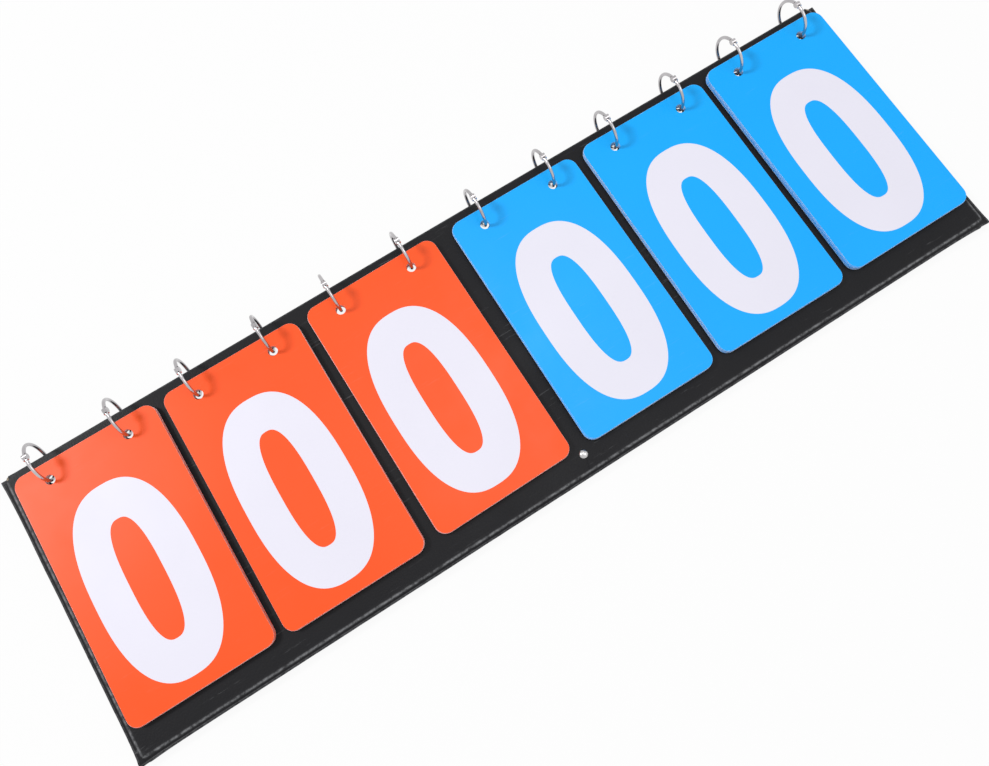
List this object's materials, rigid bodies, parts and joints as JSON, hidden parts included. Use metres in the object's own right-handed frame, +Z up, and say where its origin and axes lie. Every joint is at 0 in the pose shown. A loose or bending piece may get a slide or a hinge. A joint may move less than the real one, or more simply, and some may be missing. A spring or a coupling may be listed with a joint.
{
  "type": "tabletop flip scoreboard",
  "caption": "Long folding board with two teams of three flip digit decks on hinged rings; a stand leg folds out behind it.",
  "frame": {"origin": "middle of the flat outer face of the stand leg, which the folded scoreboard lies on", "axes": "+X along the board from the first digit to the last, +Y towards the top edge that the leaves turn over, +Z up out of the digits"},
  "size_m": [0.574, 0.1858, 0.0262],
  "materials": {
    "black_vinyl": "satin black PVC leathercloth with a fine grain, heat welded",
    "hinge_vinyl": "flexible black PVC strip",
    "chipboard": "grey chipboard",
    "orange_leaf": "satin orange printed plastic sheet, white core",
    "blue_leaf": "satin blue printed plastic sheet, white core",
    "ring_nickel": "bright nickel plated steel wire",
    "snap_nickel": "nickel plated snap fastener"
  },
  "bodies": {
    "front_board": {"front_core": "chipboard", "front_cover": "black_vinyl", "hinge_strip_front": "hinge_vinyl", "snap_cap": "snap_nickel", "snap_socket": "snap_nickel", "orange_hundreds_rings": "ring_nickel", "orange_tens_rings": "ring_nickel", "orange_units_rings": "ring_nickel", "blue_hundreds_rings": "ring_nickel", "blue_tens_rings": "ring_nickel", "blue_units_rings": "ring_nickel"},
    "stand_leg": {"leg_core": "chipboard", "leg_cover": "black_vinyl", "hinge_strip_leg": "hinge_vinyl", "snap_stud": "snap_nickel"},
    "orange_hundreds_gate_left": {"orange_hundreds_gate_left": "ring_nickel"},
    "orange_hundreds_gate_right": {"orange_hundreds_gate_right": "ring_nickel"},
    "orange_hundreds_lower_leaves": {"orange_hundreds_lower_leaves": "orange_leaf"},
    "orange_hundreds_leaf_2": {"orange_hundreds_leaf_2": "orange_leaf"},
    "orange_hundreds_leaf_1": {"orange_hundreds_leaf_1": "orange_leaf"},
    "orange_hundreds_leaf_0": {"orange_hundreds_leaf_0": "orange_leaf"},
    "orange_tens_gate_left": {"orange_tens_gate_left": "ring_nickel"},
    "orange_tens_gate_right": {"orange_tens_gate_right": "ring_nickel"},
    "orange_tens_lower_leaves": {"orange_tens_lower_leaves": "orange_leaf"},
    "orange_tens_leaf_2": {"orange_tens_leaf_2": "orange_leaf"},
    "orange_tens_leaf_1": {"orange_tens_leaf_1": "orange_leaf"},
    "orange_tens_leaf_0": {"orange_tens_leaf_0": "orange_leaf"},
    "orange_units_gate_left": {"orange_units_gate_left": "ring_nickel"},
    "orange_units_gate_right": {"orange_units_gate_right": "ring_nickel"},
    "orange_units_lower_leaves": {"orange_units_lower_leaves": "orange_leaf"},
    "orange_units_leaf_2": {"orange_units_leaf_2": "orange_leaf"},
    "orange_units_leaf_1": {"orange_units_leaf_1": "orange_leaf"},
    "orange_units_leaf_0": {"orange_units_leaf_0": "orange_leaf"},
    "blue_hundreds_gate_left": {"blue_hundreds_gate_left": "ring_nickel"},
    "blue_hundreds_gate_right": {"blue_hundreds_gate_right": "ring_nickel"},
    "blue_hundreds_lower_leaves": {"blue_hundreds_lower_leaves": "blue_leaf"},
    "blue_hundreds_leaf_2": {"blue_hundreds_leaf_2": "blue_leaf"},
    "blue_hundreds_leaf_1": {"blue_hundreds_leaf_1": "blue_leaf"},
    "blue_hundreds_leaf_0": {"blue_hundreds_leaf_0": "blue_leaf"},
    "blue_tens_gate_left": {"blue_tens_gate_left": "ring_nickel"},
    "blue_tens_gate_right": {"blue_tens_gate_right": "ring_nickel"},
    "blue_tens_lower_leaves": {"blue_tens_lower_leaves": "blue_leaf"},
    "blue_tens_leaf_2": {"blue_tens_leaf_2": "blue_leaf"},
    "blue_tens_leaf_1": {"blue_tens_leaf_1": "blue_leaf"},
    "blue_tens_leaf_0": {"blue_tens_leaf_0": "blue_leaf"},
    "blue_units_gate_left": {"blue_units_gate_left": "ring_nickel"},
    "blue_units_gate_right": {"blue_units_gate_right": "ring_nickel"},
    "blue_units_lower_leaves": {"blue_units_lower_leaves": "blue_leaf"},
    "blue_units_leaf_2": {"blue_units_leaf_2": "blue_leaf"},
    "blue_units_leaf_1": {"blue_units_leaf_1": "blue_leaf"},
    "blue_units_leaf_0": {"blue_units_leaf_0": "blue_leaf"}
  },
  "joints": [
    {"name": "leg_fold", "type": "hinge", "parent": "front_board", "child": "stand_leg", "pos_m": [0, 0.07841, 0.0034], "axis": [1, 0, 0], "range_deg": [0, 45]},
    {"name": "orange_hundreds_gate_left_hinge", "type": "hinge", "parent": "front_board", "child": "orange_hundreds_gate_left", "pos_m": [-0.25978, 0.0971, 0.02462], "axis": [-1, 0.0059, 0], "range_deg": [-35, 0]},
    {"name": "orange_hundreds_gate_right_hinge", "type": "hinge", "parent": "front_board", "child": "orange_hundreds_gate_right", "pos_m": [-0.21118, 0.09681, 0.02462], "axis": [-1, 0.0059, 0], "range_deg": [-35, 0]},
    {"name": "orange_hundreds_lower_leaves_turn", "type": "hinge", "parent": "front_board", "child": "orange_hundreds_lower_leaves", "pos_m": [-0.2355, 0.0949, 0.013], "axis": [-1, 0.0059, 0], "range_deg": [0, 180]},
    {"name": "orange_hundreds_leaf_2_turn", "type": "hinge", "parent": "orange_hundreds_lower_leaves", "child": "orange_hundreds_leaf_2", "pos_m": [-0.2355, 0.0949, 0.013], "axis": [-1, 0.0059, 0], "range_deg": [0, 180]},
    {"name": "orange_hundreds_leaf_1_turn", "type": "hinge", "parent": "orange_hundreds_leaf_2", "child": "orange_hundreds_leaf_1", "pos_m": [-0.2355, 0.0949, 0.013], "axis": [-1, 0.0059, 0], "range_deg": [0, 180]},
    {"name": "orange_hundreds_leaf_0_turn", "type": "hinge", "parent": "orange_hundreds_leaf_1", "child": "orange_hundreds_leaf_0", "pos_m": [-0.2355, 0.0949, 0.013], "axis": [-1, 0.0059, 0], "range_deg": [0, 180]},
    {"name": "orange_tens_gate_left_hinge", "type": "hinge", "parent": "front_board", "child": "orange_tens_gate_left", "pos_m": [-0.16679, 0.09587, 0.02462], "axis": [-1, 0.0049, 0], "range_deg": [-35, 0]},
    {"name": "orange_tens_gate_right_hinge", "type": "hinge", "parent": "front_board", "child": "orange_tens_gate_right", "pos_m": [-0.11819, 0.09563, 0.02462], "axis": [-1, 0.0049, 0], "range_deg": [-35, 0]},
    {"name": "orange_tens_lower_leaves_turn", "type": "hinge", "parent": "front_board", "child": "orange_tens_lower_leaves", "pos_m": [-0.1425, 0.0937, 0.013], "axis": [-1, 0.0049, 0], "range_deg": [0, 180]},
    {"name": "orange_tens_leaf_2_turn", "type": "hinge", "parent": "orange_tens_lower_leaves", "child": "orange_tens_leaf_2", "pos_m": [-0.1425, 0.0937, 0.013], "axis": [-1, 0.0049, 0], "range_deg": [0, 180]},
    {"name": "orange_tens_leaf_1_turn", "type": "hinge", "parent": "orange_tens_leaf_2", "child": "orange_tens_leaf_1", "pos_m": [-0.1425, 0.0937, 0.013], "axis": [-1, 0.0049, 0], "range_deg": [0, 180]},
    {"name": "orange_tens_leaf_0_turn", "type": "hinge", "parent": "orange_tens_leaf_1", "child": "orange_tens_leaf_0", "pos_m": [-0.1425, 0.0937, 0.013], "axis": [-1, 0.0049, 0], "range_deg": [0, 180]},
    {"name": "orange_units_gate_left_hinge", "type": "hinge", "parent": "front_board", "child": "orange_units_gate_left", "pos_m": [-0.07262, 0.09613, 0.02462], "axis": [-1, -0.0091, 0], "range_deg": [-35, 0]},
    {"name": "orange_units_gate_right_hinge", "type": "hinge", "parent": "front_board", "child": "orange_units_gate_right", "pos_m": [-0.02403, 0.09657, 0.02462], "axis": [-1, -0.0091, 0], "range_deg": [-35, 0]},
    {"name": "orange_units_lower_leaves_turn", "type": "hinge", "parent": "front_board", "child": "orange_units_lower_leaves", "pos_m": [-0.04831, 0.0943, 0.013], "axis": [-1, -0.0091, 0], "range_deg": [0, 180]},
    {"name": "orange_units_leaf_2_turn", "type": "hinge", "parent": "orange_units_lower_leaves", "child": "orange_units_leaf_2", "pos_m": [-0.04831, 0.0943, 0.013], "axis": [-1, -0.0091, 0], "range_deg": [0, 180]},
    {"name": "orange_units_leaf_1_turn", "type": "hinge", "parent": "orange_units_leaf_2", "child": "orange_units_leaf_1", "pos_m": [-0.04831, 0.0943, 0.013], "axis": [-1, -0.0091, 0], "range_deg": [0, 180]},
    {"name": "orange_units_leaf_0_turn", "type": "hinge", "parent": "orange_units_leaf_1", "child": "orange_units_leaf_0", "pos_m": [-0.04831, 0.0943, 0.013], "axis": [-1, -0.0091, 0], "range_deg": [0, 180]},
    {"name": "blue_hundreds_gate_left_hinge", "type": "hinge", "parent": "front_board", "child": "blue_hundreds_gate_left", "pos_m": [0.02741, 0.09612, 0.02462], "axis": [-1, 0.0028, 0], "range_deg": [-35, 0]},
    {"name": "blue_hundreds_gate_right_hinge", "type": "hinge", "parent": "front_board", "child": "blue_hundreds_gate_right", "pos_m": [0.07601, 0.09598, 0.02462], "axis": [-1, 0.0028, 0], "range_deg": [-35, 0]},
    {"name": "blue_hundreds_lower_leaves_turn", "type": "hinge", "parent": "front_board", "child": "blue_hundreds_lower_leaves", "pos_m": [0.0517, 0.094, 0.013], "axis": [-1, 0.0028, 0], "range_deg": [0, 180]},
    {"name": "blue_hundreds_leaf_2_turn", "type": "hinge", "parent": "blue_hundreds_lower_leaves", "child": "blue_hundreds_leaf_2", "pos_m": [0.0517, 0.094, 0.013], "axis": [-1, 0.0028, 0], "range_deg": [0, 180]},
    {"name": "blue_hundreds_leaf_1_turn", "type": "hinge", "parent": "blue_hundreds_leaf_2", "child": "blue_hundreds_leaf_1", "pos_m": [0.0517, 0.094, 0.013], "axis": [-1, 0.0028, 0], "range_deg": [0, 180]},
    {"name": "blue_hundreds_leaf_0_turn", "type": "hinge", "parent": "blue_hundreds_leaf_1", "child": "blue_hundreds_leaf_0", "pos_m": [0.0517, 0.094, 0.013], "axis": [-1, 0.0028, 0], "range_deg": [0, 180]},
    {"name": "blue_tens_gate_left_hinge", "type": "hinge", "parent": "front_board", "child": "blue_tens_gate_left", "pos_m": [0.12212, 0.09675, 0.02462], "axis": [-1, 0.008, 0], "range_deg": [-35, 0]},
    {"name": "blue_tens_gate_right_hinge", "type": "hinge", "parent": "front_board", "child": "blue_tens_gate_right", "pos_m": [0.17072, 0.09636, 0.02462], "axis": [-1, 0.008, 0], "range_deg": [-35, 0]},
    {"name": "blue_tens_lower_leaves_turn", "type": "hinge", "parent": "front_board", "child": "blue_tens_lower_leaves", "pos_m": [0.14641, 0.0945, 0.013], "axis": [-1, 0.008, 0], "range_deg": [0, 180]},
    {"name": "blue_tens_leaf_2_turn", "type": "hinge", "parent": "blue_tens_lower_leaves", "child": "blue_tens_leaf_2", "pos_m": [0.14641, 0.0945, 0.013], "axis": [-1, 0.008, 0], "range_deg": [0, 180]},
    {"name": "blue_tens_leaf_1_turn", "type": "hinge", "parent": "blue_tens_leaf_2", "child": "blue_tens_leaf_1", "pos_m": [0.14641, 0.0945, 0.013], "axis": [-1, 0.008, 0], "range_deg": [0, 180]},
    {"name": "blue_tens_leaf_0_turn", "type": "hinge", "parent": "blue_tens_leaf_1", "child": "blue_tens_leaf_0", "pos_m": [0.14641, 0.0945, 0.013], "axis": [-1, 0.008, 0], "range_deg": [0, 180]},
    {"name": "blue_units_gate_left_hinge", "type": "hinge", "parent": "front_board", "child": "blue_units_gate_left", "pos_m": [0.21581, 0.09766, 0.02462], "axis": [-1, 0.0044, 0], "range_deg": [-35, 0]},
    {"name": "blue_units_gate_right_hinge", "type": "hinge", "parent": "front_board", "child": "blue_units_gate_right", "pos_m": [0.26441, 0.09745, 0.02462], "axis": [-1, 0.0044, 0], "range_deg": [-35, 0]},
    {"name": "blue_units_lower_leaves_turn", "type": "hinge", "parent": "front_board", "child": "blue_units_lower_leaves", "pos_m": [0.2401, 0.0955, 0.013], "axis": [-1, 0.0044, 0], "range_deg": [0, 180]},
    {"name": "blue_units_leaf_2_turn", "type": "hinge", "parent": "blue_units_lower_leaves", "child": "blue_units_leaf_2", "pos_m": [0.2401, 0.0955, 0.013], "axis": [-1, 0.0044, 0], "range_deg": [0, 180]},
    {"name": "blue_units_leaf_1_turn", "type": "hinge", "parent": "blue_units_leaf_2", "child": "blue_units_leaf_1", "pos_m": [0.2401, 0.0955, 0.013], "axis": [-1, 0.0044, 0], "range_deg": [0, 180]},
    {"name": "blue_units_leaf_0_turn", "type": "hinge", "parent": "blue_units_leaf_1", "child": "blue_units_leaf_0", "pos_m": [0.2401, 0.0955, 0.013], "axis": [-1, 0.0044, 0], "range_deg": [0, 180]}
  ]
}
